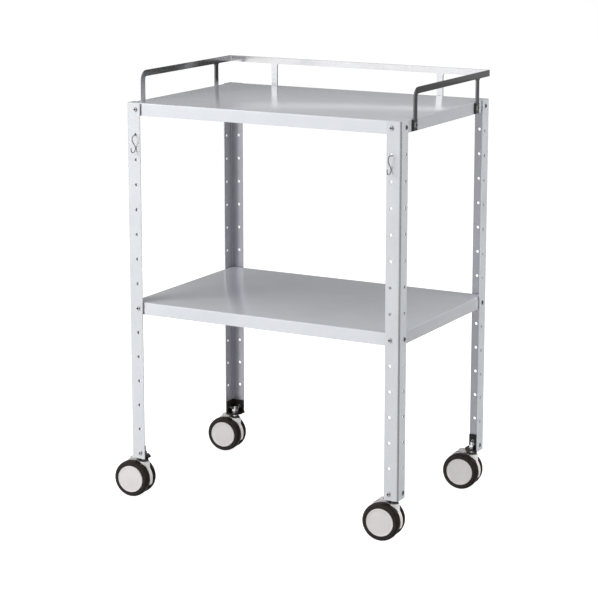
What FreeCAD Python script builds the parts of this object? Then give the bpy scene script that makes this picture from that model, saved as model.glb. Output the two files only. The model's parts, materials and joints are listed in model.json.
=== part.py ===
import FreeCAD, Part
import Sketcher
import math
import os

# Utility cart: two folded stainless trays on four drilled angle posts, a bent guard rail
# round three sides of the top tray, four braked twin-wheel casters and two wire S-hooks.
# Millimetres, +Z up, floor at zero, front towards -Y. The casters trail to the left, and the
# origin is in the middle of the floor space that the cart takes up with them and the hooks.

doc = FreeCAD.newDocument("utility_cart")
sheet = doc.addObject("Spreadsheet::Sheet", "Sizes")

DRIVING = {
    # the frame, over the outer faces of the posts
    "width": 600,
    "depth": 400,
    "post_leg": 30,
    "post_thick": 2,
    "post_bend": 4,
    "hole_pitch": 50,
    "hole_count": 15,
    "hole_end": 12.5,
    "hole_inset": 20,
    "hole_bore": 6,
    "lower_hole": 8,
    "hook_hole": 1,
    # folded trays and the spacers that hold them off the posts
    "tray_flange": 25,
    "tray_sheet": 1.2,
    "tray_edge": 2.5,
    "tray_corner": 2,
    "spacer_thick": 2,
    "spacer_side": 14,
    # guard rail, cut from one plate and bent at the two back corners
    "rail_rise": 57.5,
    "rail_bar": 12.5,
    "rail_plate": 3,
    "rail_bend": 5,
    "rail_front_curve": 13,
    "rail_leg": 13,
    "rail_leg_place": 141,
    "rail_back_leg": 14,
    "rail_back_place": 191.5,
    "rail_fillet": 5,
    "rail_foot_round": 4,
    "rail_foot_rise": 1.5,
    "saddle_thick": 2,
    "saddle_lip": 1,
    # black caster brackets inside the foot of each post
    "bracket_plate": 3,
    "bracket_rise": 28,
    "bracket_leg": 28,
    "bracket_reach": 37,
    "bracket_nose": 20,
    # caster stem and dust ring
    "caster_rise": 82,
    "stem_inset": 17,
    "stem_across": 8,
    "stem_pin": 24,
    "collar_across": 14,
    "collar_height": 5.7,
    "ring_across": 19,
    "ring_thick": 3,
    "stem_rise": 16.6,
    # twin-wheel caster
    "caster_turn": 5,
    "trail": 20,
    "wheel_across": 75,
    "wheel_width": 16,
    "wheel_gap": 12,
    "web_thick": 11,
    "web_rim": 0.5,
    "web_foot": 24,
    "neck_across": 24,
    "neck_bevel": 1.5,
    "wheel_room": 1,
    "axle_across": 8,
    "axle_half": 19,
    "core_across": 54.6,
    "tyre_shoulder": 3,
    "tyre_crown": 4.5,
    "tyre_face": 0.8,
    "cap_thick": 3.5,
    "cap_proud": 1.2,
    "cap_rim": 2,
    "cap_lip": 0.3,
    "running": 0.05,
    "side_play": 0.3,
    # brake pedal on top of the caster
    "pedal_pivot_back": 14,
    "pedal_pivot_up": 39.5,
    "pedal_pin": 2.5,
    "pedal_boss": 6,
    "pedal_cheek": 2.5,
    "pedal_under": 1.6,
    "pedal_bevel": 0.2,
    "pedal_tip_back": 43,
    "pedal_tip_up": 34.8,
    "pedal_tip_thick": 1.8,
    "pedal_root_up": 42.6,
    "pedal_thick": 2.8,
    "pedal_curve": 46,
    # S-hooks of round wire
    "wire_across": 2,
    "hook_top_curve": 7,
    "hook_low_curve": 8,
    "hook_tail_curve": 3,
    "hook_tail": 4,
    "hook_tail_back": 5.5,
    "hook_reach": 6,
    "hook_lean": 42,
    "hook_tip_turn": 15,
    "hook_seat": 0.7,
    "hook_play": 0.3,
}

for row, (alias, number) in enumerate(DRIVING.items(), start=1):
    sheet.set(f"A{row}", alias)
    sheet.set(f"B{row}", str(number))
    sheet.setAlias(f"B{row}", alias)
doc.recompute()


class Size:
    """A length or count that keeps its number and its sheet expression together."""

    def __init__(self, value, text):
        self.value = value
        self.text = text

    def __add__(self, other):
        other = as_size(other)
        return Size(self.value + other.value, f"({self.text} + {other.text})")

    def __sub__(self, other):
        other = as_size(other)
        return Size(self.value - other.value, f"({self.text} - {other.text})")

    def __mul__(self, other):
        other = as_size(other)
        return Size(self.value * other.value, f"({self.text} * {other.text})")

    def __truediv__(self, other):
        other = as_size(other)
        return Size(self.value / other.value, f"({self.text} / {other.text})")

    def __neg__(self):
        return Size(-self.value, f"(0 - {self.text})")


def as_size(thing):
    if isinstance(thing, Size):
        return thing
    return Size(float(thing), repr(float(thing)))


def size(alias):
    return Size(float(sheet.get(alias)), f"Sizes.{alias}")


def cosine(angle):
    return Size(math.cos(math.radians(angle.value)), f"cos({angle.text})")


def sine(angle):
    return Size(math.sin(math.radians(angle.value)), f"sin({angle.text})")


ZERO = as_size(0)

# Heights and places that several pieces share.
post_thick = size("post_thick")
hole_pitch = size("hole_pitch")
half_width = size("width") / 2
half_depth = size("depth") / 2
post_length = size("hole_end") * 2 + hole_pitch * (size("hole_count") - 1)
post_foot = size("caster_rise")
top_screws = post_foot + post_length - size("hole_end")
lower_screws = top_screws - hole_pitch * size("lower_hole")
hook_height = top_screws - hole_pitch * size("hook_hole")
screw_place_x = half_width - size("hole_inset")
screw_place_y = half_depth - size("hole_inset")
tray_x = half_width - post_thick - size("spacer_thick")
tray_y = half_depth - post_thick - size("spacer_thick")
tray_flange = size("tray_flange")
tray_sheet = size("tray_sheet")
rail_inner_x = tray_x + size("saddle_thick")
rail_inner_y = tray_y + size("saddle_thick")
rail_outer_x = rail_inner_x + size("rail_plate")
rail_outer_y = rail_inner_y + size("rail_plate")
top_face = top_screws + tray_flange / 2
rail_top = top_face + size("rail_rise")
rail_under = rail_top - size("rail_bar")
rail_foot = top_face - tray_flange + size("rail_foot_rise")
wheel_radius = size("wheel_across") / 2
stem_x = half_width - size("stem_inset")
stem_y = half_depth - size("stem_inset")
turn = size("caster_turn")
trail = size("trail")
centre_x = (trail + wheel_radius - size("stem_inset") + half_width - rail_outer_x) / 2
wheel_outside = size("wheel_gap") / 2 + size("wheel_width")
hook_front = half_depth + size("hook_play") + size("hook_low_curve") * 2 + size("wire_across")
wheel_back = stem_y + wheel_outside * cosine(turn) + (wheel_radius - trail) * sine(turn)
centre_y = (hook_front - wheel_back) / 2
CORNERS = {
    "front_left": (-1, -1, 0),
    "front_right": (1, -1, 90),
    "rear_right": (1, 1, 180),
    "rear_left": (-1, 1, 270),
}


def vector(point):
    return FreeCAD.Vector(point[0].value, point[1].value, 0)


def bind(thing, path, amount):
    """Ties one property of an object to the sheet."""
    thing.setExpression(path, as_size(amount).text)


def new_body(label):
    body = doc.addObject("PartDesign::Body", label)
    body.Label = label
    return body


def datum(body, role):
    return [item for item in body.Origin.OriginFeatures if item.Role == role][0]


def new_sketch(body, role, offset=None):
    sketch = body.newObject("Sketcher::SketchObject", "outline")
    sketch.AttachmentSupport = (datum(body, role), [""])
    sketch.MapMode = "FlatFace"
    if offset is not None:
        bind(sketch, "AttachmentOffset.Base.z", offset)
    return sketch


def pin(sketch, geometry, spot, point):
    """Holds one sketch point at two sheet distances from the sketch's origin."""
    for kind, amount in (("DistanceX", point[0]), ("DistanceY", point[1])):
        number = sketch.addConstraint(
            Sketcher.Constraint(kind, -1, 1, geometry, spot, amount.value)
        )
        sketch.setExpression(f"Constraints[{number}]", amount.text)


def add_arc(sketch, start, end, radius, side, large):
    """An arc between two points, bulging left (side 1) or right (side -1) of the way there."""
    first = vector(start)
    last = vector(end)
    chord = last - first
    rise = math.sqrt(max(radius.value**2 - chord.Length**2 / 4, 0))
    across = FreeCAD.Vector(-chord.y, chord.x, 0).normalize()
    toward = side if large else -side
    centre = (first + last) / 2 + across * rise * toward
    begin = math.atan2(first.y - centre.y, first.x - centre.x)
    finish = math.atan2(last.y - centre.y, last.x - centre.x)
    circle = Part.Circle(centre, FreeCAD.Vector(0, 0, 1), radius.value)
    clockwise = side > 0
    if clockwise:
        begin, finish = finish, begin
    if finish < begin:
        finish += 2 * math.pi
    number = sketch.addGeometry(Part.ArcOfCircle(circle, begin, finish))
    held = sketch.addConstraint(Sketcher.Constraint("Radius", number, radius.value))
    sketch.setExpression(f"Constraints[{held}]", radius.text)
    return (number, 2, 1) if clockwise else (number, 1, 2)


def draw(sketch, points, arcs=None, closed=True):
    """A chain of lines; arcs maps a segment's number to its radius, side and large flag."""
    arcs = arcs or {}
    last = len(points) if closed else len(points) - 1
    pieces = []
    for step in range(last):
        start = points[step]
        end = points[(step + 1) % len(points)]
        if step in arcs:
            pieces.append(add_arc(sketch, start, end, *arcs[step]))
        else:
            line = Part.LineSegment(vector(start), vector(end))
            pieces.append((sketch.addGeometry(line), 1, 2))
    joined = last if closed else last - 1
    for step in range(joined):
        here = pieces[step]
        after = pieces[(step + 1) % last]
        sketch.addConstraint(
            Sketcher.Constraint("Coincident", here[0], here[2], after[0], after[1])
        )
    for step, piece in enumerate(pieces):
        pin(sketch, piece[0], piece[1], points[step])
    if not closed:
        pin(sketch, pieces[-1][0], pieces[-1][2], points[-1])


def draw_circle(sketch, centre, radius):
    circle = Part.Circle(vector(centre), FreeCAD.Vector(0, 0, 1), radius.value)
    number = sketch.addGeometry(circle)
    pin(sketch, number, 3, centre)
    held = sketch.addConstraint(Sketcher.Constraint("Radius", number, radius.value))
    sketch.setExpression(f"Constraints[{held}]", radius.text)


def draw_rectangle(sketch, low, high):
    corners = [low, (high[0], low[1]), high, (low[0], high[1])]
    draw(sketch, corners)


def pad(body, sketch, length, middle=False, back=False):
    feature = body.newObject("PartDesign::Pad", "pad")
    feature.Profile = sketch
    bind(feature, "Length", length)
    feature.Midplane = middle
    feature.Reversed = back
    return feature


def pocket(body, sketch, length=None, middle=False, back=False):
    """Cuts a sketch out of the body, and stops the build if nothing came away."""
    doc.recompute()
    before = body.Shape.Volume
    feature = body.newObject("PartDesign::Pocket", "pocket")
    feature.Profile = sketch
    if length is None:
        feature.Type = "ThroughAll"
    else:
        bind(feature, "Length", length)
    feature.Midplane = middle
    feature.Reversed = back
    doc.recompute()
    if body.Shape.Volume > before - 0.001:
        raise RuntimeError(f"{body.Label}: {feature.Name} cut nothing")
    return feature


def turned(body, points, arcs=None, axis="V_Axis", role="XZ_Plane"):
    """A full revolution of a closed half outline about a sketch axis."""
    sketch = new_sketch(body, role)
    draw(sketch, points, arcs)
    feature = body.newObject("PartDesign::Revolution", "turning")
    feature.Profile = sketch
    feature.ReferenceAxis = (sketch, [axis])
    feature.Angle = 360
    return feature


def edges_where(body, test):
    """Names of the edges whose middle point passes the test."""
    doc.recompute()
    names = []
    for number, edge in enumerate(body.Shape.Edges, start=1):
        middle = edge.valueAt((edge.FirstParameter + edge.LastParameter) / 2)
        if test(middle, edge):
            names.append(f"Edge{number}")
    return names


def round_edges(body, radius, test):
    names = edges_where(body, test)
    base = body.Tip
    feature = body.newObject("PartDesign::Fillet", "rounding")
    feature.Base = (base, names)
    bind(feature, "Radius", radius)
    return feature


def near(number, amount):
    return abs(number - as_size(amount).value) < 0.01


def upright(edge):
    """True for a straight edge that runs along Z."""
    straight = isinstance(edge.Curve, Part.Line)
    return straight and abs(edge.Curve.Direction.z) > 0.999


def place(body, x, y, z, angle=ZERO):
    bind(body, "Placement.Base.x", x)
    bind(body, "Placement.Base.y", y)
    bind(body, "Placement.Base.z", z)
    if angle.value:
        body.Placement = FreeCAD.Placement(
            FreeCAD.Vector(x.value, y.value, z.value),
            FreeCAD.Rotation(FreeCAD.Vector(0, 0, 1), angle.value),
        )
        bind(body, "Placement.Rotation.Angle", angle)


kept = []


def keep(thing):
    kept.append(thing)
    return thing


def keep_set(label, form, spots):
    """One node of equal loose pieces: the form's shape, moved to each spot."""
    doc.recompute()
    copies = []
    for spot in spots:
        piece = form.Shape.copy()
        piece.Placement = spot.multiply(form.Placement)
        copies.append(piece)
    feature = doc.addObject("Part::Feature", label)
    feature.Label = label
    feature.Shape = Part.makeCompound(copies)
    return keep(feature)


def spot_at(x, y, z, axis=(0, 0, 1), angle=0):
    return FreeCAD.Placement(
        FreeCAD.Vector(as_size(x).value, as_size(y).value, as_size(z).value),
        FreeCAD.Rotation(FreeCAD.Vector(*axis), angle),
    )


def side_spots(height, back_offset):
    """Spots on the outer faces beside each post corner: local +Z points out of the cart."""
    spots = []
    for x_sign, y_sign, _ in CORNERS.values():
        x = centre_x + screw_place_x * x_sign
        y = centre_y + (half_depth + back_offset) * y_sign
        spots.append(spot_at(x, y, height, (1, 0, 0), -90 * y_sign))
        x = centre_x + (half_width + back_offset) * x_sign
        y = centre_y + screw_place_y * y_sign
        spots.append(spot_at(x, y, height, (0, 1, 0), 90 * x_sign))
    return spots


def make_post(name, x_sign, y_sign, angle):
    """A bent angle with its outer corner at the local origin and its legs along +X and +Y."""
    body = new_body(f"post_{name}")
    leg = size("post_leg")
    section = new_sketch(body, "XY_Plane")
    draw(
        section,
        [
            (ZERO, ZERO),
            (leg, ZERO),
            (leg, post_thick),
            (post_thick, post_thick),
            (post_thick, leg),
            (ZERO, leg),
        ],
    )
    pad(body, section, post_length)
    round_edges(
        body,
        size("post_bend"),
        lambda middle, edge: upright(edge) and near(middle.x, 0) and near(middle.y, 0),
    )
    round_edges(
        body,
        size("post_bend") - post_thick,
        lambda middle, edge: upright(edge)
        and near(middle.x, post_thick)
        and near(middle.y, post_thick),
    )
    cuts = []
    for role in ("XZ_Plane", "YZ_Plane"):
        drilling = new_sketch(body, role)
        draw_circle(
            drilling, (size("hole_inset"), size("hole_end")), size("hole_bore") / 2
        )
        cuts.append(pocket(body, drilling, post_thick * 2 + 1, middle=True))
    row = body.newObject("PartDesign::LinearPattern", "hole_row")
    row.Originals = cuts
    row.Direction = (datum(body, "Z_Axis"), [""])
    bind(row, "Length", hole_pitch * (size("hole_count") - 1))
    bind(row, "Occurrences", size("hole_count"))
    body.Tip = row
    place(
        body,
        centre_x + half_width * x_sign,
        centre_y + half_depth * y_sign,
        post_foot,
        as_size(angle),
    )
    return keep(body)


def make_tray(label, screw_height):
    """A sheet folded down on four sides; local origin at the middle of its top face."""
    body = new_body(label)
    blank = new_sketch(body, "XY_Plane")
    draw_rectangle(blank, (-tray_x, -tray_y), (tray_x, tray_y))
    pad(body, blank, tray_flange, back=True)
    round_edges(body, size("tray_corner"), lambda middle, edge: upright(edge))
    round_edges(body, size("tray_edge"), lambda middle, edge: near(middle.z, 0))
    hollow = new_sketch(body, "XY_Plane", -tray_flange)
    inner_x = tray_x - tray_sheet
    inner_y = tray_y - tray_sheet
    draw_rectangle(hollow, (-inner_x, -inner_y), (inner_x, inner_y))
    pocket(body, hollow, tray_flange - tray_sheet, back=True)
    place(body, centre_x, centre_y, screw_height + tray_flange / 2)
    return keep(body)


def draw_leg(sketch, place_along, half, top, foot):
    draw_rectangle(sketch, (place_along - half, foot), (place_along + half, top))


def make_guard_rail():
    """Plate rail on three sides: bar, four side legs, two back legs, rounded front ends."""
    body = new_body("guard_rail")
    half_leg = size("rail_leg") / 2
    front = -(size("rail_leg_place") + half_leg)
    plan = new_sketch(body, "XY_Plane", rail_under)
    draw(
        plan,
        [
            (-rail_outer_x, front),
            (-rail_inner_x, front),
            (-rail_inner_x, rail_inner_y),
            (rail_inner_x, rail_inner_y),
            (rail_inner_x, front),
            (rail_outer_x, front),
            (rail_outer_x, rail_outer_y),
            (-rail_outer_x, rail_outer_y),
        ],
    )
    pad(body, plan, size("rail_bar"))
    for sign in (-1, 1):
        legs = new_sketch(body, "YZ_Plane", rail_inner_x * sign)
        for along in (-size("rail_leg_place"), size("rail_leg_place")):
            draw_leg(legs, along, half_leg, rail_under, rail_foot)
        pad(body, legs, size("rail_plate"), back=sign < 0)
    legs = new_sketch(body, "XZ_Plane", -rail_inner_y)
    for along in (-size("rail_back_place"), size("rail_back_place")):
        draw_leg(legs, along, size("rail_back_leg") / 2, rail_under, rail_foot)
    pad(body, legs, size("rail_plate"), back=True)
    round_edges(
        body,
        size("rail_bend"),
        lambda middle, edge: upright(edge)
        and near(abs(middle.x), rail_outer_x)
        and near(middle.y, rail_outer_y),
    )
    round_edges(
        body,
        size("rail_bend") - size("rail_plate"),
        lambda middle, edge: upright(edge)
        and near(abs(middle.x), rail_inner_x)
        and near(middle.y, rail_inner_y)
        and middle.z > rail_under.value,
    )
    short = size("rail_plate").value + 0.01
    round_edges(
        body,
        size("rail_front_curve"),
        lambda middle, edge: near(middle.z, rail_top)
        and near(middle.y, front)
        and edge.Length < short,
    )
    round_edges(
        body,
        size("rail_fillet"),
        lambda middle, edge: near(middle.z, rail_under) and edge.Length < short,
    )
    round_edges(
        body,
        size("rail_foot_round"),
        lambda middle, edge: near(middle.z, rail_foot) and edge.Length < short,
    )
    place(body, centre_x, centre_y, ZERO)
    return keep(body)


def saddle_form(label, leg_width):
    """Black saddle between the tray and one rail leg; local +Y points out of the cart."""
    body = new_body(label)
    inner = leg_width / 2 + size("running")
    outer = inner + size("saddle_lip")
    deep = size("saddle_thick") + size("rail_plate")
    plan = new_sketch(body, "XY_Plane")
    draw(
        plan,
        [
            (-outer, ZERO),
            (outer, ZERO),
            (outer, deep),
            (inner, deep),
            (inner, size("saddle_thick")),
            (-inner, size("saddle_thick")),
            (-inner, deep),
            (-outer, deep),
        ],
    )
    pad(body, plan, tray_flange - size("rail_foot_rise") - size("tray_edge"))
    return body


def rail_spots(height):
    """Spots at the six rail legs, turned so that local +Y points out of the cart."""
    sides = []
    backs = []
    for sign in (-1, 1):
        for end in (-1, 1):
            x = centre_x + tray_x * sign
            y = centre_y + size("rail_leg_place") * end
            sides.append(spot_at(x, y, height, (0, 0, 1), -90 * sign))
        x = centre_x + size("rail_back_place") * sign
        backs.append(spot_at(x, centre_y + tray_y, height))
    return sides, backs


def make_saddles():
    side_form = saddle_form("side_saddle_form", size("rail_leg"))
    back_form = saddle_form("back_saddle_form", size("rail_back_leg"))
    doc.recompute()
    sides, backs = rail_spots(rail_foot)
    pieces = []
    for form, spots in ((side_form, sides), (back_form, backs)):
        for spot in spots:
            piece = form.Shape.copy()
            piece.Placement = spot
            pieces.append(piece)
    feature = doc.addObject("Part::Feature", "rail_saddles")
    feature.Label = "rail_saddles"
    feature.Shape = Part.makeCompound(pieces)
    return keep(feature)


def make_spacers():
    """Square plates behind every screw, which hold the trays off the posts."""
    form = new_body("spacer_form")
    outline = new_sketch(form, "XY_Plane")
    half = size("spacer_side") / 2
    draw_rectangle(outline, (-half, -half), (half, half))
    pad(form, outline, size("spacer_thick"), back=True)
    spots = side_spots(top_screws, -post_thick)
    spots += side_spots(lower_screws, -post_thick)
    keep_set("tray_spacers", form, spots)


def make_bracket(name, x_sign, y_sign, angle):
    """Black bracket: a nosed foot plate with two upright ears against the post's legs."""
    body = new_body(f"caster_bracket_{name}")
    plate = size("bracket_plate")
    seat = post_thick
    reach = size("bracket_reach")
    nose = size("bracket_nose")
    foot = new_sketch(body, "XY_Plane")
    draw(
        foot,
        [
            (seat, seat),
            (reach, seat),
            (reach, nose),
            (nose, reach),
            (seat, reach),
        ],
    )
    pad(body, foot, plate)
    inner = seat + plate
    end = seat + size("bracket_leg")
    ears = new_sketch(body, "XY_Plane")
    draw(
        ears,
        [
            (seat, seat),
            (end, seat),
            (end, inner),
            (inner, inner),
            (inner, end),
            (seat, end),
        ],
    )
    pad(body, ears, size("bracket_rise"))
    round_edges(
        body,
        size("post_bend") - post_thick,
        lambda middle, edge: upright(edge) and near(middle.x, seat) and near(middle.y, seat),
    )
    drilling = new_sketch(body, "XY_Plane")
    draw_circle(
        drilling, (size("stem_inset"), size("stem_inset")), size("stem_across") / 2
    )
    pocket(body, drilling, plate * 2 + 1, middle=True)
    place(
        body,
        centre_x + half_width * x_sign,
        centre_y + half_depth * y_sign,
        post_foot,
        as_size(angle),
    )
    return keep(body)


def stem_spots(height):
    """Spots on the axes of the four casters."""
    spots = []
    for x_sign, y_sign, _ in CORNERS.values():
        x = centre_x + stem_x * x_sign
        y = centre_y + stem_y * y_sign
        spots.append(spot_at(x, y, height))
    return spots


def make_stems():
    """Caster stems with their collars, and the dust rings round them."""
    stem = new_body("stem_form")
    rod = size("stem_across") / 2
    collar = size("collar_across") / 2
    under = -size("collar_height")
    turned(
        stem,
        [
            (ZERO, under - size("stem_pin")),
            (rod, under - size("stem_pin")),
            (rod, under),
            (collar, under),
            (collar, ZERO),
            (rod, ZERO),
            (rod, size("stem_rise")),
            (ZERO, size("stem_rise")),
        ],
    )
    keep_set("caster_stems", stem, stem_spots(post_foot))
    ring = new_body("dust_ring_form")
    outline = new_sketch(ring, "XY_Plane")
    draw_circle(outline, (ZERO, ZERO), size("ring_across") / 2)
    draw_circle(outline, (ZERO, ZERO), rod)
    pad(ring, outline, size("ring_thick"), back=True)
    keep_set("dust_rings", ring, stem_spots(post_foot + under))


def neck_top():
    return post_foot - size("collar_height") - size("ring_thick") - size("side_play")


def make_housing(name, x_sign, y_sign):
    """White caster housing: a round web between the wheels and a neck cut clear of them."""
    body = new_body(f"caster_housing_{name}")
    axle = (-trail, wheel_radius)
    web_half = size("web_thick") / 2
    web = new_sketch(body, "XZ_Plane")
    draw_circle(web, axle, wheel_radius - size("web_rim"))
    pad(body, web, size("web_thick"), middle=True)
    below = new_sketch(body, "XZ_Plane")
    draw_rectangle(
        below,
        (-(trail + wheel_radius), ZERO),
        (wheel_radius, size("web_foot")),
    )
    pocket(body, below, size("web_thick") * 2, middle=True)
    neck = new_sketch(body, "XY_Plane", wheel_radius)
    draw_circle(neck, (ZERO, ZERO), size("neck_across") / 2)
    pad(body, neck, neck_top() - wheel_radius)
    for sign in (-1, 1):
        room = new_sketch(body, "XZ_Plane", web_half * sign)
        draw_circle(room, axle, wheel_radius + size("wheel_room"))
        pocket(body, room, size("wheel_width") * 2, back=sign > 0)
    boss = new_sketch(body, "XZ_Plane")
    pivot = (-size("pedal_pivot_back"), wheel_radius + size("pedal_pivot_up"))
    ear = size("pedal_boss") / 2
    draw_circle(boss, pivot, ear)
    pad(body, boss, size("web_thick"), middle=True)
    boss_foot = new_sketch(body, "XZ_Plane")
    draw_rectangle(
        boss_foot,
        (pivot[0] - ear, pivot[1] - ear * 2),
        (pivot[0] + ear, pivot[1]),
    )
    pad(body, boss_foot, size("web_thick"), middle=True)
    pivot_pin = new_sketch(body, "XZ_Plane")
    draw_circle(pivot_pin, pivot, size("pedal_pin") / 2)
    pad(
        body,
        pivot_pin,
        size("web_thick") + (size("side_play") + size("pedal_cheek")) * 2,
        middle=True,
    )
    top = neck_top().value
    wide = size("neck_across").value * 0.6
    rim = edges_where(
        body,
        lambda middle, edge: near(middle.z, top)
        and isinstance(edge.Curve, Part.Circle)
        and edge.Length > wide,
    )
    base = body.Tip
    bevel = body.newObject("PartDesign::Chamfer", "bevel")
    bevel.Base = (base, rim)
    bind(bevel, "Size", size("neck_bevel"))
    bore = new_sketch(body, "XY_Plane", neck_top())
    draw_circle(bore, (ZERO, ZERO), size("stem_across") / 2 + size("running"))
    pocket(body, bore, size("stem_pin") + 1)
    seat = new_sketch(body, "XZ_Plane")
    draw_circle(seat, axle, size("axle_across") / 2)
    pocket(body, seat, size("web_thick") * 2, middle=True)
    place(body, centre_x + stem_x * x_sign, centre_y + stem_y * y_sign, ZERO, turn)
    return keep(body)


def place_at_axle(body, x_sign, y_sign, angle):
    """Puts a piece that is drawn about its own axle where the caster carries it."""
    place(
        body,
        centre_x + stem_x * x_sign - trail * cosine(turn),
        centre_y + stem_y * y_sign - trail * sine(turn),
        wheel_radius,
        turn + angle,
    )


def make_axle(name, x_sign, y_sign):
    body = new_body(f"axle_{name}")
    section = new_sketch(body, "XZ_Plane")
    draw_circle(section, (ZERO, ZERO), size("axle_across") / 2)
    pad(body, section, size("axle_half") * 2, middle=True)
    place_at_axle(body, x_sign, y_sign, 0)
    return keep(body)


def make_pedal(name, x_sign, y_sign):
    """Curved brake pedal: a crescent plate, two cheeks and a slot over the housing's boss."""
    body = new_body(f"brake_pedal_{name}")
    wide = size("web_thick") + (size("side_play") + size("pedal_cheek")) * 2
    pivot_x = -size("pedal_pivot_back")
    pivot_z = wheel_radius + size("pedal_pivot_up")
    root_x = pivot_x - size("pedal_boss") / 2
    tip_x = -size("pedal_tip_back")
    tip_z = wheel_radius + size("pedal_tip_up")
    root_z = wheel_radius + size("pedal_root_up")
    curve = size("pedal_curve")
    plate = new_sketch(body, "XZ_Plane")
    draw(
        plate,
        [
            (root_x, root_z - size("pedal_thick")),
            (tip_x, tip_z),
            (tip_x - size("pedal_tip_thick") / 2, tip_z + size("pedal_tip_thick")),
            (root_x, root_z),
        ],
        {0: (curve, -1, False), 2: (curve, 1, False)},
    )
    pad(body, plate, wide, middle=True)
    cheek = new_sketch(body, "XZ_Plane")
    ear = size("pedal_boss") / 2
    under = size("pedal_under")
    draw(
        cheek,
        [
            (pivot_x + ear, pivot_z - under),
            (pivot_x + ear, pivot_z + under),
            (pivot_x + ear / 2, root_z - size("pedal_bevel")),
            (root_x - ear * 2, root_z - size("pedal_bevel") * 2),
            (root_x - ear * 2, root_z - size("pedal_thick")),
            (pivot_x - ear, pivot_z - under),
        ],
    )
    pad(body, cheek, wide, middle=True)
    slot = new_sketch(body, "XZ_Plane")
    room = ear + size("side_play")
    draw_rectangle(
        slot,
        (pivot_x - room, pivot_z - ear * 2),
        (pivot_x + room * 2, root_z + 1),
    )
    pocket(body, slot, size("web_thick") + size("side_play") * 2, middle=True)
    hole = new_sketch(body, "XZ_Plane")
    draw_circle(hole, (pivot_x, pivot_z), size("pedal_pin") / 2 + size("running"))
    pocket(body, hole, wide * 2, middle=True)
    place(body, centre_x + stem_x * x_sign, centre_y + stem_y * y_sign, ZERO, turn)
    return keep(body)


def make_wheel(name, side, x_sign, y_sign, angle):
    """Tyre, core and cap of one wheel, turned about local Y with the cap towards -Y."""
    near_face = -size("wheel_gap") / 2
    far_face = near_face - size("wheel_width")
    core = size("core_across") / 2
    cap_seat = far_face + size("cap_thick") - size("cap_proud")
    tyre_body = new_body(f"tyre_{name}_{side}")
    turned(
        tyre_body,
        [
            (core, near_face),
            (wheel_radius, near_face),
            (wheel_radius, far_face + size("tyre_crown")),
            (wheel_radius - size("tyre_shoulder"), far_face),
            (core, far_face + size("tyre_face")),
        ],
        role="XY_Plane",
    )
    place_at_axle(tyre_body, x_sign, y_sign, angle)
    keep(tyre_body)
    bore = size("axle_across") / 2 + size("running")
    core_body = new_body(f"wheel_{name}_{side}")
    turned(
        core_body,
        [(bore, near_face), (core, near_face), (core, cap_seat), (bore, cap_seat)],
        role="XY_Plane",
    )
    place_at_axle(core_body, x_sign, y_sign, angle)
    keep(core_body)
    cap_body = new_body(f"wheel_cap_{name}_{side}")
    turned(
        cap_body,
        [
            (ZERO, cap_seat),
            (core, cap_seat),
            (core, far_face - size("cap_lip")),
            (core - size("cap_rim"), far_face - size("cap_proud")),
            (ZERO, far_face - size("cap_proud")),
        ],
        role="XY_Plane",
    )
    place_at_axle(cap_body, x_sign, y_sign, angle)
    keep(cap_body)


def make_hook(name, x_sign):
    """S-hook of eight-sided wire in a front post's hole; drawn in Y and Z from its pivot."""
    body = new_body(f"s_hook_{name}")
    wire = size("wire_across") / 2
    top = size("hook_top_curve")
    low = size("hook_low_curve")
    back = size("hook_tail_back")
    bend = size("hook_tail_curve")
    lean = size("hook_lean")
    tip = size("hook_tip_turn")
    reach = size("hook_reach") + post_thick / 2
    tail_low = (back, -(bend + size("hook_tail")))
    tail_high = (back, -bend)
    over = (back - bend, ZERO)
    crest = (-reach, ZERO)
    turn_y = -reach - top * cosine(lean)
    turn_z = -top - top * sine(lean)
    low_y = -(post_thick / 2 + wire + size("hook_play") + low)
    spine_y = low_y + low * cosine(lean)
    spine_z = turn_z - (spine_y - turn_y) * cosine(lean) / sine(lean)
    low_z = spine_z - low * sine(lean)
    end_y = low_y - low * cosine(tip)
    end_z = low_z + low * sine(tip)
    spine = new_sketch(body, "YZ_Plane")
    draw(
        spine,
        [
            tail_low,
            tail_high,
            over,
            crest,
            (turn_y, turn_z),
            (spine_y, spine_z),
            (end_y, end_z),
        ],
        {1: (bend, -1, False), 3: (top, -1, False), 5: (low, 1, True)},
        closed=False,
    )
    section = new_sketch(body, "XY_Plane", tail_low[1])
    flats = []
    for step in range(8):
        corner = as_size(45 * step + 22.5)
        flats.append((wire * cosine(corner), back + wire * sine(corner)))
    draw(section, flats)
    doc.recompute()
    sweep = body.newObject("PartDesign::AdditivePipe", "wire")
    sweep.Profile = section
    sweep.Spine = spine
    sweep.Transition = "Transformed"
    place(
        body,
        centre_x + screw_place_x * x_sign,
        centre_y - half_depth + post_thick / 2,
        hook_height - size("hole_bore") / 2 + wire + size("hook_seat"),
    )
    return keep(body)


for corner, (x_sign, y_sign, angle) in CORNERS.items():
    make_post(corner, x_sign, y_sign, angle)
make_tray("top_shelf", top_screws)
make_tray("lower_shelf", lower_screws)
make_guard_rail()
make_saddles()
make_spacers()
for corner, (x_sign, y_sign, angle) in CORNERS.items():
    make_bracket(corner, x_sign, y_sign, angle)
make_stems()
for corner, (x_sign, y_sign, _) in CORNERS.items():
    make_housing(corner, x_sign, y_sign)
    make_axle(corner, x_sign, y_sign)
    make_pedal(corner, x_sign, y_sign)
    make_wheel(corner, "near", x_sign, y_sign, 0)
    make_wheel(corner, "far", x_sign, y_sign, 180)
make_hook("left", -1)
make_hook("right", 1)

doc.recompute()
for item in doc.Objects:
    if "Invalid" in item.State or "Error" in item.State:
        raise RuntimeError(f"{item.Name} ({item.Label}) failed: {item.State}")
for item in kept:
    if item.Shape.isNull() or not item.Shape.isValid() or not item.Shape.Solids:
        raise RuntimeError(f"{item.Label} has no valid shape")

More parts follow.
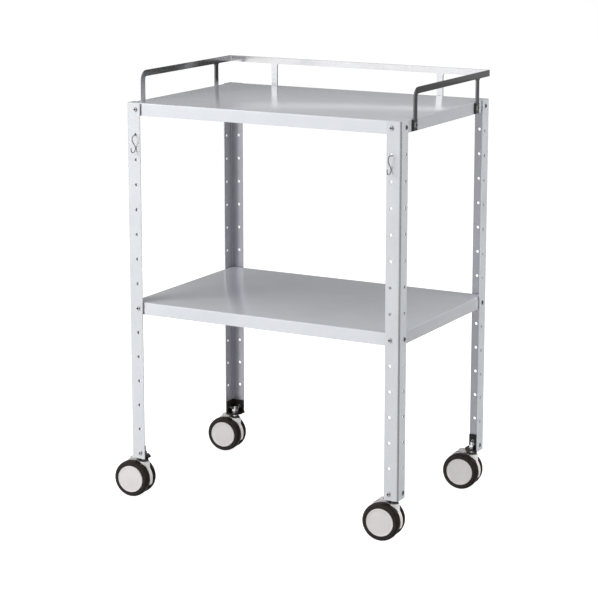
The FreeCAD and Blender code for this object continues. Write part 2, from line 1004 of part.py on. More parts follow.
os.makedirs("parts", exist_ok=True)
for item in kept:
    item.Shape.exportStep(f"parts/{item.Label}.step")
print(len(kept), "sub-parts written")
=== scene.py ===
import json
import math
import bmesh
import bpy
import numpy as np
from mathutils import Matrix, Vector


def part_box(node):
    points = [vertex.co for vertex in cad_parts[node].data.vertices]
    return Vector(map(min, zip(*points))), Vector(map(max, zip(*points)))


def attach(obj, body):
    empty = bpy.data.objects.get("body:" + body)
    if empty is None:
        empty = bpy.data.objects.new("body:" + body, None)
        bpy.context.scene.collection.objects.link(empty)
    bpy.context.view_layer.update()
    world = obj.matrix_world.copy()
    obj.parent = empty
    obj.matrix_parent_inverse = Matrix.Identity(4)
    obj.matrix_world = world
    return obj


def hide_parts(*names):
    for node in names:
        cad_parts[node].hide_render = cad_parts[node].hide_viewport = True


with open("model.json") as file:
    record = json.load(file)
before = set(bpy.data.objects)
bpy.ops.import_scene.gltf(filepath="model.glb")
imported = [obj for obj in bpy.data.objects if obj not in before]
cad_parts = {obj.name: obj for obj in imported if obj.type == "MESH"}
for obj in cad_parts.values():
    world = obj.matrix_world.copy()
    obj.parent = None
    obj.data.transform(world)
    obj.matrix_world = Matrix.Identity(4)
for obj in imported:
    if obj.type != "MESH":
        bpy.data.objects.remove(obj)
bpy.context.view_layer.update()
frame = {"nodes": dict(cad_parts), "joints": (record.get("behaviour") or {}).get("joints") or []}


# Camera
# A long lens from the front right, a little above the top tray. The lens is shifted a little
# way down, so that the posts stay nearly parallel in the picture. The camera's place is
# measured from the middle between the four posts, and from their top holes.
camera_data = bpy.data.cameras.new("camera")
camera = bpy.data.objects.new("camera", camera_data)
bpy.context.collection.objects.link(camera)
bpy.context.scene.camera = camera
bpy.context.scene.view_settings.view_transform = "Standard"
picture_side, lens_axis_row, focal_length = 598, 240, 2048.9
camera_data.sensor_fit = "HORIZONTAL"
camera_data.sensor_width = 36
camera_data.lens = camera_data.sensor_width * focal_length / picture_side
camera_data.shift_y = (lens_axis_row - picture_side / 2) / picture_side
camera_data.clip_end = 60
left_low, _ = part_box("post_front_left")
_, right_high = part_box("post_rear_right")
middle_x = (left_low.x + right_high.x) / 2
middle_y = (left_low.y + right_high.y) / 2
end_to_hole = 0.0125
top_hole = right_high.z - end_to_hole
camera_right, camera_forward, camera_up = 1.926, 3.545, 0.511
camera_down_angle, camera_left_angle = 10.94, 28.806
camera.location = (middle_x + camera_right, middle_y - camera_forward, top_hole + camera_up)
camera.rotation_euler = (
    math.radians(90 - camera_down_angle), 0, math.radians(camera_left_angle)
)


# Studio
# A white room with a pale floor. What shiny surfaces mirror of it falls off from the bright
# front left to a dim back right, as in a real studio where no lamp stands behind the cart. The
# camera sees plain white behind it, and three soft lamps light it from left, above and right.
def put(tree, kind, values=(), **settings):
    """A shader node with its settings, and the plain values of its sockets."""
    node = tree.nodes.new(kind)
    for setting, value in settings.items():
        setattr(node, setting, value)
    for socket, value in dict(values).items():
        node.inputs[socket].default_value = value
    return node


def join(tree, source, source_socket, target, target_socket):
    """A link from one node's output to another node's input."""
    tree.links.new(source.outputs[source_socket], target.inputs[target_socket])


world = bpy.data.worlds.new("room")
bpy.context.scene.world = world
world.use_nodes = True
room = world.node_tree
room.nodes.clear()
direction = put(room, "ShaderNodeTexCoord")
toward_light = put(
    room, "ShaderNodeVectorMath", {1: (-0.8, -0.6, 0.0)}, operation="DOT_PRODUCT"
)
join(room, direction, "Generated", toward_light, 0)
fall = put(room, "ShaderNodeMapRange", {"From Min": -1.0, "From Max": 1.0})
join(room, toward_light, "Value", fall, "Value")
mirrored = put(room, "ShaderNodeValToRGB")
levels = mirrored.color_ramp
levels.interpolation = "EASE"
for position, level in (
    (0.046, 0.035),
    (0.09, 0.16),
    (0.44, 0.28),
    (0.58, 0.14),
    (0.69, 0.70),
    (0.93, 0.92),
):
    levels.elements.new(position).color = (level, level, level, 1)
levels.elements.remove(levels.elements[-1])
levels.elements.remove(levels.elements[0])
join(room, fall, "Result", mirrored, "Fac")
lit = put(room, "ShaderNodeBackground", {"Color": (0.93, 0.95, 1.0, 1), "Strength": 0.20})
reflected = put(room, "ShaderNodeBackground", {"Strength": 1.0})
join(room, mirrored, "Color", reflected, "Color")
white = put(room, "ShaderNodeBackground", {"Color": (1, 1, 1, 1), "Strength": 1.0})
seen = put(room, "ShaderNodeLightPath")
seen_in_mirror = put(room, "ShaderNodeMath", operation="MAXIMUM")
join(room, seen, "Is Glossy Ray", seen_in_mirror, 0)
join(room, seen, "Is Transmission Ray", seen_in_mirror, 1)
lit_or_mirrored = put(room, "ShaderNodeMixShader")
join(room, seen_in_mirror, "Value", lit_or_mirrored, 0)
join(room, lit, "Background", lit_or_mirrored, 1)
join(room, reflected, "Background", lit_or_mirrored, 2)
behind_cart = put(room, "ShaderNodeMixShader")
join(room, seen, "Is Camera Ray", behind_cart, 0)
join(room, lit_or_mirrored, "Shader", behind_cart, 1)
join(room, white, "Background", behind_cart, 2)
room_out = put(room, "ShaderNodeOutputWorld")
join(room, behind_cart, "Shader", room_out, "Surface")

floor_reach = 12.0
floor_corners = [
    (x * floor_reach, y * floor_reach, 0) for x, y in ((-1, -1), (1, -1), (1, 1), (-1, 1))
]
floor_mesh = bpy.data.meshes.new("studio_floor")
floor_mesh.from_pydata(floor_corners, [], [(0, 1, 2, 3)])
floor = bpy.data.objects.new("studio_floor", floor_mesh)
bpy.context.collection.objects.link(floor)
floor.visible_glossy = False
paper = bpy.data.materials.new("white_paper")
paper.use_nodes = True
sheet = paper.node_tree
sheet.nodes.clear()
matt = put(sheet, "ShaderNodeBsdfDiffuse", {"Color": (0.5, 0.5, 0.5, 1)})
glow = put(sheet, "ShaderNodeEmission", {"Color": (1, 1, 1, 1)})
floor_path = put(sheet, "ShaderNodeLightPath")
floor_seen = put(sheet, "ShaderNodeMath", operation="MAXIMUM")
join(sheet, floor_path, "Is Camera Ray", floor_seen, 0)
join(sheet, floor_path, "Is Glossy Ray", floor_seen, 1)
floor_level = put(sheet, "ShaderNodeMath", {1: 0.92}, operation="MULTIPLY")
join(sheet, floor_seen, "Value", floor_level, 0)
join(sheet, floor_level, "Value", glow, "Strength")
lit_and_glowing = put(sheet, "ShaderNodeAddShader")
join(sheet, matt, "BSDF", lit_and_glowing, 0)
join(sheet, glow, "Emission", lit_and_glowing, 1)
sheet_out = put(sheet, "ShaderNodeOutputMaterial")
join(sheet, lit_and_glowing, "Shader", sheet_out, "Surface")
floor_mesh.materials.append(paper)

for lamp_name, place, aim, side, power in (
    ("left_window", (-1.25, -1.75, 1.55), (0, 0, 0.6), 1.3, 36),
    ("top_panel", (0.3, -0.4, 3.6), (0, 0, 0.4), 3.0, 60),
    ("right_fill", (2.9, 0.4, 1.0), (0, 0, 0.5), 2.0, 52),
):
    lamp_data = bpy.data.lights.new(lamp_name, "AREA")
    lamp_data.shape = "SQUARE"
    lamp_data.size = side
    lamp_data.energy = power
    lamp = bpy.data.objects.new(lamp_name, lamp_data)
    lamp.location = place
    lamp.rotation_euler = (Vector(aim) - Vector(place)).to_track_quat("-Z", "Y").to_euler()
    lamp.visible_glossy = False
    bpy.context.collection.objects.link(lamp)


# Angle posts
# Four folded stainless angles with a row of punched holes in both legs. They are polished
# along their length, so their grain runs up and down, and handling has left them a little dull.
# The fold is polished most and mirrors the room. The inner faces are a little more metallic, and
# they and the hole walls carry painted shade: their colour is darkened.
def new_group(name, inputs, outputs):
    """An empty shader node group with named sockets, and its two end nodes."""
    group = bpy.data.node_groups.new(name, "ShaderNodeTree")
    for label, kind, value in inputs:
        socket = group.interface.new_socket(name=label, in_out="INPUT", socket_type=kind)
        socket.default_value = value
    for label, kind in outputs:
        group.interface.new_socket(name=label, in_out="OUTPUT", socket_type=kind)
    return group, group.nodes.new("NodeGroupInput"), group.nodes.new("NodeGroupOutput")


def grain_group():
    """Polishing lines: noise stretched along one axis. Height is the noise itself, and
    roughness is Middle + (noise - 0.5) x Depth."""
    group, start, end = new_group(
        "polishing lines",
        [
            ("Stretch", "NodeSocketVector", (400.0, 400.0, 4.0)),
            ("Depth", "NodeSocketFloat", 0.3),
            ("Middle", "NodeSocketFloat", 0.3),
        ],
        [("Roughness", "NodeSocketFloat"), ("Height", "NodeSocketFloat")],
    )
    place = put(group, "ShaderNodeTexCoord")
    stretch = put(group, "ShaderNodeVectorMath", operation="MULTIPLY")
    join(group, place, "Object", stretch, 0)
    join(group, start, "Stretch", stretch, 1)
    lines = put(group, "ShaderNodeTexNoise", {"Scale": 1.0, "Detail": 3.0})
    join(group, stretch, "Vector", lines, "Vector")
    swing = put(group, "ShaderNodeMath", {1: 0.5}, operation="SUBTRACT")
    join(group, lines, "Fac", swing, 0)
    scaled = put(group, "ShaderNodeMath", operation="MULTIPLY")
    join(group, swing, "Value", scaled, 0)
    join(group, start, "Depth", scaled, 1)
    level = put(group, "ShaderNodeMath", operation="ADD")
    join(group, scaled, "Value", level, 0)
    join(group, start, "Middle", level, 1)
    join(group, level, "Value", end, "Roughness")
    join(group, lines, "Fac", end, "Height")
    return group


# The colour sockets of a Mix node are found by number, because several share a name.
mix_share, mix_first, mix_second, mix_result = 0, 6, 7, 2


def cloud_group():
    """Soft handling marks: a cloudy noise, spread out, blends the clean colour to the dull."""
    group, start, end = new_group(
        "handling marks",
        [
            ("Clean", "NodeSocketColor", (0.8, 0.8, 0.8, 1)),
            ("Dull", "NodeSocketColor", (0.7, 0.7, 0.7, 1)),
            ("Size", "NodeSocketFloat", 9.0),
        ],
        [("Color", "NodeSocketColor"), ("Mask", "NodeSocketFloat")],
    )
    place = put(group, "ShaderNodeTexCoord")
    cloud = put(group, "ShaderNodeTexNoise", {"Detail": 4.0, "Roughness": 0.6})
    join(group, place, "Object", cloud, "Vector")
    join(group, start, "Size", cloud, "Scale")
    spread = put(
        group,
        "ShaderNodeMapRange",
        {"From Min": 0.35, "From Max": 0.68},
        interpolation_type="SMOOTHSTEP",
    )
    join(group, cloud, "Fac", spread, "Value")
    blend = put(group, "ShaderNodeMix", data_type="RGBA")
    join(group, spread, "Result", blend, mix_share)
    join(group, start, "Clean", blend, mix_first)
    join(group, start, "Dull", blend, mix_second)
    join(group, blend, mix_result, end, "Color")
    join(group, spread, "Result", end, "Mask")
    return group


def marked_group():
    """Marked faces or points: the colour is multiplied by Tone in the share that Mask says."""
    group, start, end = new_group(
        "marked places",
        [
            ("Color", "NodeSocketColor", (0.8, 0.8, 0.8, 1)),
            ("Tone", "NodeSocketColor", (0.5, 0.5, 0.5, 1)),
            ("Mask", "NodeSocketFloat", 0.0),
        ],
        [("Color", "NodeSocketColor")],
    )
    blend = put(group, "ShaderNodeMix", data_type="RGBA", blend_type="MULTIPLY")
    join(group, start, "Mask", blend, mix_share)
    join(group, start, "Color", blend, mix_first)
    join(group, start, "Tone", blend, mix_second)
    join(group, blend, mix_result, end, "Color")
    return group


polishing_lines = grain_group()
handling_marks = cloud_group()
marked_places = marked_group()


def steel(name, clean, dull, stretch, middle, depth, bump, marks=9.0, metallic=1.0):
    """Stainless steel: polishing lines in the roughness and height, handling marks in colour."""
    material = bpy.data.materials.new(name)
    material.use_nodes = True
    tree = material.node_tree
    surface = tree.nodes["Principled BSDF"]
    surface.inputs["Metallic"].default_value = metallic
    lines = put(tree, "ShaderNodeGroup", node_tree=polishing_lines)
    lines.inputs["Stretch"].default_value = stretch
    lines.inputs["Middle"].default_value = middle
    lines.inputs["Depth"].default_value = depth
    tint = put(tree, "ShaderNodeGroup", node_tree=handling_marks)
    tint.inputs["Clean"].default_value = (*clean, 1)
    tint.inputs["Dull"].default_value = (*dull, 1)
    tint.inputs["Size"].default_value = marks
    join(tree, tint, "Color", surface, "Base Color")
    join(tree, lines, "Roughness", surface, "Roughness")
    relief = put(tree, "ShaderNodeBump", {"Strength": bump, "Distance": 0.0002})
    join(tree, lines, "Height", relief, "Height")
    join(tree, relief, "Normal", surface, "Normal")
    return material


def darken_marked(material, attribute, tone):
    """Darken a material's colour where the piece's own attribute marks its surface."""
    tree = material.node_tree
    surface = tree.nodes["Principled BSDF"]
    colour = surface.inputs["Base Color"].links[0].from_node
    where = put(tree, "ShaderNodeAttribute", attribute_name=attribute)
    darker = put(tree, "ShaderNodeGroup", {"Tone": (*tone, 1)}, node_tree=marked_places)
    join(tree, where, "Fac", darker, "Mask")
    join(tree, colour, "Color", darker, "Color")
    join(tree, darker, "Color", surface, "Base Color")


def keep_marks(piece, attribute, domain, values):
    """Keep one value for each face or each point of a piece, for its material to read."""
    layer = piece.data.attributes.new(attribute, "FLOAT", domain)
    layer.data.foreach_set("value", values.astype(np.float32))


sharp_edge, flat_joint, weld_distance = math.radians(32), math.radians(0.5), 0.00001


def rounded_copy(node, body, material, edge):
    """A node's own shape with its triangles joined and its edges rounded by a small bevel."""
    mesh = frame["nodes"][node].data.copy()
    mesh.name = f"{node}_finished"
    work = bmesh.new()
    work.from_mesh(mesh)
    bmesh.ops.remove_doubles(work, verts=work.verts, dist=weld_distance)
    bmesh.ops.dissolve_limit(work, angle_limit=flat_joint, verts=work.verts, edges=work.edges)
    work.to_mesh(mesh)
    work.free()
    mesh.materials.clear()
    mesh.materials.append(material)
    mesh.shade_smooth()
    mesh.set_sharp_from_angle(angle=sharp_edge)
    piece = bpy.data.objects.new(f"{node}_finished", mesh)
    bpy.context.collection.objects.link(piece)
    if edge:
        soft = piece.modifiers.new("edge", "BEVEL")
        soft.width = edge
        soft.segments = 2
        soft.limit_method = "ANGLE"
        soft.angle_limit = sharp_edge
        soft.use_clamp_overlap = False
        soft.harden_normals = True
    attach(piece, body)
    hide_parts(node)
    return piece


corners = ("front_left", "front_right", "rear_right", "rear_left")


def outer_corner(corner):
    """Where a post's outer corner stands in x and y, and the way out of the cart there."""
    place = (
        left_low.x if "left" in corner else right_high.x,
        left_low.y if "front" in corner else right_high.y,
    )
    way = (-1 if "left" in corner else 1, -1 if "front" in corner else 1)
    return np.array(place), np.array(way)


post_steel = steel(
    "post_steel", clean=(0.84, 0.86, 0.89), dull=(0.79, 0.81, 0.84), stretch=(900, 900, 5),
    middle=0.20, depth=0.1, bump=0.03, metallic=0.3,
)
# Painted shade: faces marked inside (the inner faces and the hole walls) are darkened to 0.58 of
# their colour.
darken_marked(post_steel, "inside", (0.58, 0.56, 0.59))
post_tree = post_steel.node_tree
polish = put(post_tree, "ShaderNodeAttribute", attribute_name="polish")
join(post_tree, polish, "Fac", post_tree.nodes["Principled BSDF"], "Metallic")
outer_polish, fold_polish, inner_polish = 0.3, 0.74, 0.5
fold_reach, fold_slant, hole_wall_area = 0.006, 0.15, 0.000004
for corner in corners:
    post = rounded_copy(f"post_{corner}", "frame", post_steel, edge=0.0003)
    place, way = outer_corner(corner)
    faces = post.data.polygons
    normals = np.array([face.normal for face in faces])[:, :2]
    centres = np.array([face.center for face in faces])[:, :2]
    outwards = normals @ way
    depth = (np.abs(centres - place) * np.abs(normals)).sum(axis=1)
    inner = (outwards < -0.5) & (depth < fold_reach)
    fold = (outwards > 0.5) & (np.abs(normals).min(axis=1) > fold_slant)
    hole_walls = np.array([face.area for face in faces]) < hole_wall_area
    shine = np.where(fold, fold_polish, np.where(inner, inner_polish, outer_polish))
    # The painted shade mask: every inner face and every hole wall.
    keep_marks(post, "inside", "FACE", inner | hole_walls)
    keep_marks(post, "polish", "FACE", shine)


# Trays
# Each tray is one satin stainless sheet, folded down on four sides. The grain runs from left
# to right, and wiping has left faint cloudy marks.
tray_steel = steel(
    "tray_steel", clean=(0.87, 0.89, 0.93), dull=(0.82, 0.84, 0.88), stretch=(5, 900, 900),
    middle=0.16, depth=0.08, bump=0.02, marks=5.0, metallic=0.45,
)
for tray in ("top_shelf", "lower_shelf"):
    rounded_copy(tray, "frame", tray_steel, edge=0.0003)


# Guard rail
# One flat stainless plate, cut with its legs and bent at the two back corners. Its faces are
# polished until they mirror the room, and the cut edges carry painted shade: their colour is
# darkened. The front ends are cut to a wide curve: each point of the plain one moves out from
# its own centre to the wide one's.
def points_of(piece):
    """The coordinates of a piece's points, one row each."""
    return np.array([vertex.co for vertex in piece.data.vertices])


def move_points(piece, points):
    """Put a piece's points at new coordinates."""
    piece.data.vertices.foreach_set("co", points.ravel())
    piece.data.update()


rail_steel = steel(
    "rail_steel", clean=(0.97, 0.97, 0.98), dull=(0.92, 0.91, 0.92), stretch=(60, 60, 900),
    middle=0.18, depth=0.05, bump=0.01,
)
# Painted shade: the plate's cut edges are darkened to 0.30 of their colour.
darken_marked(rail_steel, "painted_shade_edge", (0.30, 0.30, 0.31))
rail = rounded_copy("guard_rail", "frame", rail_steel, edge=0.0004)
rail_low, rail_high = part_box("guard_rail")
plain_curve, wide_curve, rail_bend, hair = 0.013, 0.020, 0.005, 0.0001
points = points_of(rail)
front_top = np.array((rail_low.y, -rail_high.z))
from_end = points[:, 1:] * (1, -1) - front_top
on_curve = (from_end < plain_curve + hair).all(axis=1)
from_centre = from_end[on_curve] - plain_curve
moved = wide_curve + from_centre * wide_curve / plain_curve
points[on_curve, 1:] = (moved + front_top) * (1, -1)
move_points(rail, points)
centres = np.array([face.center for face in rail.data.polygons])
flatness = np.abs(np.array([face.normal for face in rail.data.polygons]))
at_side = centres[:, 1] < rail_high.y - rail_bend - hair
at_back = ~at_side & (np.abs(centres[:, 0] - middle_x) < rail_high.x - middle_x - rail_bend)
on_face = np.where(at_side, flatness[:, 0], np.where(at_back, flatness[:, 1], 1 - flatness[:, 2]))
# Faces that don't face out of the plate's sides are its cut edges, which get the painted shade.
keep_marks(rail, "painted_shade_edge", "FACE", on_face < 0.5)


# Saddles
# Black moulded plastic channels between the top tray's edge and the rail's legs. The rail's
# own screws go through them and hold them in place.
def plastic(name, colour, worn, roughness, size=60.0, bump=0.12, specular=0.5):
    """Moulded plastic or paint: two close colours, an uneven sheen and a fine orange peel."""
    material = bpy.data.materials.new(name)
    material.use_nodes = True
    tree = material.node_tree
    surface = tree.nodes["Principled BSDF"]
    surface.inputs["Specular IOR Level"].default_value = specular
    tint = put(tree, "ShaderNodeGroup", node_tree=handling_marks)
    tint.inputs["Clean"].default_value = (*colour, 1)
    tint.inputs["Dull"].default_value = (*worn, 1)
    tint.inputs["Size"].default_value = size
    join(tree, tint, "Color", surface, "Base Color")
    sheen = put(tree, "ShaderNodeMapRange")
    sheen.inputs["To Min"].default_value = roughness * 0.85
    sheen.inputs["To Max"].default_value = roughness * 1.15
    join(tree, tint, "Mask", sheen, "Value")
    join(tree, sheen, "Result", surface, "Roughness")
    place = put(tree, "ShaderNodeTexCoord")
    peel = put(tree, "ShaderNodeTexNoise", {"Scale": 900.0})
    join(tree, place, "Object", peel, "Vector")
    relief = put(tree, "ShaderNodeBump", {"Strength": bump, "Distance": 0.0001})
    join(tree, peel, "Fac", relief, "Height")
    join(tree, relief, "Normal", surface, "Normal")
    return material


saddle_plastic = plastic(
    "saddle_plastic", colour=(0.018, 0.017, 0.017), worn=(0.03, 0.03, 0.03), roughness=0.45
)
rounded_copy("rail_saddles", "frame", saddle_plastic, edge=0.0002)


# Spacers, screws and nuts
# Plain square plates hold the trays off the posts. Stainless pan-head screws with a cross slot
# go through from outside, with a washer and a hexagon nut inside, all as turned forms.
def turned_rows(profile, steps):
    """Each (radius, height) point carried round local Z: radius x cosine, radius x sine."""
    turn = np.linspace(0, 2 * np.pi, steps, endpoint=False)
    circle = np.stack([np.cos(turn), np.sin(turn), np.zeros(steps)], axis=1)
    rows = []
    for radius, height in profile:
        lift = np.array([[0.0, 0.0, height]])
        rows.append(circle * radius + lift if radius else lift)
    return rows


def skin(rows, ring=False):
    """Faces between neighbouring rows. A row is one closed loop of points, or a single point;
    with ring, the last row joins the first."""
    starts = np.cumsum([0] + [len(row) for row in rows])
    faces = []
    for low in range(len(rows) if ring else len(rows) - 1):
        high = (low + 1) % len(rows)
        low_count, high_count = len(rows[low]), len(rows[high])
        for step in range(max(low_count, high_count)):
            after = step + 1
            face = (
                starts[low] + step % low_count,
                starts[low] + after % low_count,
                starts[high] + after % high_count,
                starts[high] + step % high_count,
            )
            faces.append(tuple(dict.fromkeys(int(point) for point in face)))
    return np.concatenate(rows), faces


def bend(centre, radius, start, end, steps):
    """Points on a circular arc: centre + radius x (cosine, sine) from start to end degrees."""
    turn = np.radians(np.linspace(start, end, steps))
    return [
        (centre[0] + radius * math.cos(angle), centre[1] + radius * math.sin(angle))
        for angle in turn
    ]


def new_piece(name, forms, spots, body, material, replaced=()):
    """One mesh with every form at every spot. A spot is a place and the way local Z points."""
    points, faces, count = [], [], 0
    for place, out in spots:
        out = np.array(out, float)
        side = np.array((1.0, 0.0, 0.0)) if abs(out[2]) > 0.5 else np.cross((0, 0, 1), out)
        turn = np.stack([side, np.cross(out, side), out])
        for form_points, form_faces in forms:
            points.append(form_points @ turn + np.array(place, float))
            faces += [tuple(point + count for point in face) for face in form_faces]
            count += len(form_points)
    mesh = bpy.data.meshes.new(name)
    mesh.from_pydata(np.concatenate(points).tolist(), [], faces)
    mesh.materials.append(material)
    mesh.shade_smooth()
    mesh.set_sharp_from_angle(angle=sharp_edge)
    piece = bpy.data.objects.new(name, mesh)
    bpy.context.collection.objects.link(piece)
    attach(piece, body)
    if replaced:
        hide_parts(*replaced)
    return piece


def screw_head(radius, height, slot_length, slot_width, slot_depth):
    """A domed head on a polar grid: height x root(1 - 0.88 share squared), where share is the
    part of the radius, with two crossed slots cut into it. Also how far each point is in a slot."""
    steps, rings = 48, 24
    side_slope, end_slope = 0.0002, 0.0006
    rows = [np.array([[0.0, 0.0, height - slot_depth]])]
    slots = [np.ones(1)]
    for share in np.linspace(0.04, 1, rings):
        row = turned_rows([(radius * share, 0)], steps)[0]
        near_axis = np.minimum(np.abs(row[:, 0]), np.abs(row[:, 1]))
        from_middle = np.maximum(np.abs(row[:, 0]), np.abs(row[:, 1]))
        in_slot = np.clip((slot_width / 2 - near_axis) / side_slope + 0.5, 0, 1)
        in_slot *= np.clip((slot_length / 2 - from_middle) / end_slope + 0.5, 0, 1)
        row[:, 2] = height * math.sqrt(1 - 0.88 * share**2) - slot_depth * in_slot
        rows.append(row)
        slots.append(in_slot)
    rows += turned_rows([(radius, 0), (0, 0)], steps)
    slots.append(np.zeros(steps + 1))
    return skin(rows[::-1]), np.concatenate(slots[::-1])


def washer_form(bore, radius, low, high):
    """A flat ring: a rectangle from bore to radius and low to high, carried round local Z."""
    profile = [(bore, low), (radius, low), (radius, high), (bore, high)]
    return skin(turned_rows(profile, 48), ring=True)


def nut_form(across, bore, low, height, bevel):
    """A nut: the radius follows a hexagon's sides, and both ends are cut back to a circle."""
    steps = 48
    turn = np.linspace(0, 2 * np.pi, steps, endpoint=False)
    side = across / 2 / np.cos((turn % (np.pi / 3)) - np.pi / 6)
    flat = np.stack([np.cos(turn), np.sin(turn)], axis=1)
    rows = []
    for reach, level in (
        (np.full(steps, bore), 0),
        (np.minimum(side, across / 2), 0),
        (side, bevel),
        (side, height - bevel),
        (np.minimum(side, across / 2), height),
        (np.full(steps, bore), height),
    ):
        rows.append(np.column_stack([flat * reach[:, None], np.full(steps, low + level)]))
    return skin(rows, ring=True)


screw_steel = steel(
    "screw_steel", clean=(0.92, 0.92, 0.93), dull=(0.82, 0.82, 0.83), stretch=(700, 700, 700),
    middle=0.08, depth=0.04, bump=0.02,
)
# Painted shade: the cross slots are darkened almost to black. The same mark also makes the bracket
# screws' nuts dark.
darken_marked(screw_steel, "slot", (0.06, 0.06, 0.06))
rounded_copy("tray_spacers", "frame", screw_steel, edge=0.0002)
head, head_slots = screw_head(
    radius=0.00475, height=0.0031, slot_length=0.0054, slot_width=0.0014, slot_depth=0.0016
)
shank_radius, shank_bevel, shank_into_head, thread_past_sheet = 0.0025, 0.0005, 0.0001, 0.0062
washer_radius, washer_thick = 0.005, 0.001
nut_across, nut_height, nut_bevel = 0.008, 0.004, 0.0004


def new_screws(name, grip, spots, nut_dark=0.0):
    """Head, shank, washer and nut at every spot, with local Z out of the sheet and the sheet
    grip thick. The painted shade in the slots, and the dark nuts, are kept as an attribute."""
    end = -grip - thread_past_sheet
    shank_profile = [
        (0, end),
        (shank_radius - shank_bevel, end),
        (shank_radius, end + shank_bevel),
        (shank_radius, shank_into_head),
        (0, shank_into_head),
    ]
    shank = skin(turned_rows(shank_profile, 32))
    washer = washer_form(shank_radius, washer_radius, -grip - washer_thick, -grip)
    nut_low = -grip - washer_thick - nut_height
    nut = nut_form(nut_across, shank_radius, nut_low, nut_height, nut_bevel)
    piece = new_piece(
        name, [head, shank, washer, nut], spots, "frame", screw_steel
    )
    dark = [head_slots, np.zeros(len(shank[0]) + len(washer[0])), np.full(len(nut[0]), nut_dark)]
    keep_marks(piece, "slot", "POINT", np.tile(np.concatenate(dark), len(spots)))


def leg_spots(height):
    """The hole in both legs of every post at one height, and the way out of each leg."""
    hole_inset = 0.020
    spots = []
    for corner in corners:
        (x, y), (x_way, y_way) = outer_corner(corner)
        spots.append(((x - hole_inset * x_way, y, height), (0, y_way, 0)))
        spots.append(((x, y - hole_inset * y_way, height), (x_way, 0, 0)))
    return spots


hole_pitch, holes_between_trays = 0.050, 8
lower_hole = top_hole - holes_between_trays * hole_pitch
foot_hole = left_low.z + end_to_hole
_, tray_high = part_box("top_shelf")
post_thick, tray_thick, bracket_thick = 0.002, 0.0012, 0.003
tray_grip = right_high.x - tray_high.x + tray_thick
new_screws("tray_screws", tray_grip, leg_spots(top_hole) + leg_spots(lower_hole))
new_screws("bracket_screws", post_thick + bracket_thick, leg_spots(foot_hole), nut_dark=0.9)
side_leg_y, back_leg_x = 0.141, 0.1915
rail_spots = []
for way in (-1, 1):
    rail_face = middle_x + (rail_high.x - middle_x) * way
    for y in (middle_y - side_leg_y, middle_y + side_leg_y):
        rail_spots.append(((rail_face, y, top_hole), (way, 0, 0)))
    rail_spots.append(((middle_x + back_leg_x * way, rail_high.y, top_hole), (0, 1, 0)))
new_screws("rail_screws", rail_high.x - tray_high.x + tray_thick, rail_spots)


# Caster brackets
# Folded steel plates inside the feet of the posts, painted satin black and screwed to both
# legs. What stands out past the legs' free edges is drawn in to a third of its length.
bracket_paint = plastic(
    "bracket_paint", colour=(0.007, 0.006, 0.005), worn=(0.022, 0.015, 0.012), roughness=0.4,
    specular=0.3,
)
leg_width = 0.030
for corner in corners:
    bracket = rounded_copy(
        f"caster_bracket_{corner}", "frame", bracket_paint, edge=0.0003
    )
    place, way = outer_corner(corner)
    points = points_of(bracket)
    reach = (place - points[:, :2]) * way
    drawn_in = np.where(reach > leg_width, leg_width + (reach - leg_width) / 3, reach)
    points[:, :2] = place - drawn_in * way
    move_points(bracket, points)


# Caster stems
# A pin turned from steel and plated with zinc. Its collar is under the bracket's plate, and a
# washer and a large nut above the plate hold it.
stem_zinc = steel(
    "stem_zinc", clean=(0.90, 0.90, 0.91), dull=(0.78, 0.78, 0.79), stretch=(500, 500, 900),
    middle=0.16, depth=0.08, bump=0.03,
)
stem_low, stem_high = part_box("caster_stems")
stem_radius, stem_bevel = 0.004, 0.001
collar_radius, collar_edge, collar_thick = 0.007, 0.0006, 0.0057
collar_high = left_low.z
collar_low = collar_high - collar_thick
stem_profile = [
    (0, stem_low.z),
    (stem_radius, stem_low.z),
    (stem_radius, collar_low),
    *bend((collar_radius - collar_edge, collar_low + collar_edge), collar_edge, -90, 0, 4),
    *bend((collar_radius - collar_edge, collar_high - collar_edge), collar_edge, 0, 90, 4),
    (stem_radius, collar_high),
    (stem_radius, stem_high.z - stem_bevel),
    (stem_radius - stem_bevel, stem_high.z),
    (0, stem_high.z),
]
plate_top = left_low.z + bracket_thick
washer_top = plate_top + 0.0014
stem_forms = [
    skin(turned_rows(stem_profile, 48)),
    washer_form(stem_radius, radius=0.0075, low=plate_top, high=washer_top),
    nut_form(across=0.013, bore=stem_radius, low=washer_top, height=0.0065, bevel=0.0007),
]
joints = {joint["name"]: joint for joint in frame["joints"]}
stem_spots = []
for corner in corners:
    x, y, _ = joints[f"{corner}_swivel"]["pos_m"]
    stem_spots.append(((x, y, 0), (0, 0, 1)))
new_piece(
    "caster_stems_finished", stem_forms, stem_spots, "frame", stem_zinc,
    ("caster_stems",),
)


# Dust rings
# Dark grey moulded plastic rings round the stems, under the collars. They close the top of
# each caster's neck and keep dust out of its swivel.
ring_plastic = plastic(
    "ring_plastic", colour=(0.05, 0.05, 0.05), worn=(0.08, 0.08, 0.08), roughness=0.5
)
rounded_copy("dust_rings", "frame", ring_plastic, edge=0.0004)


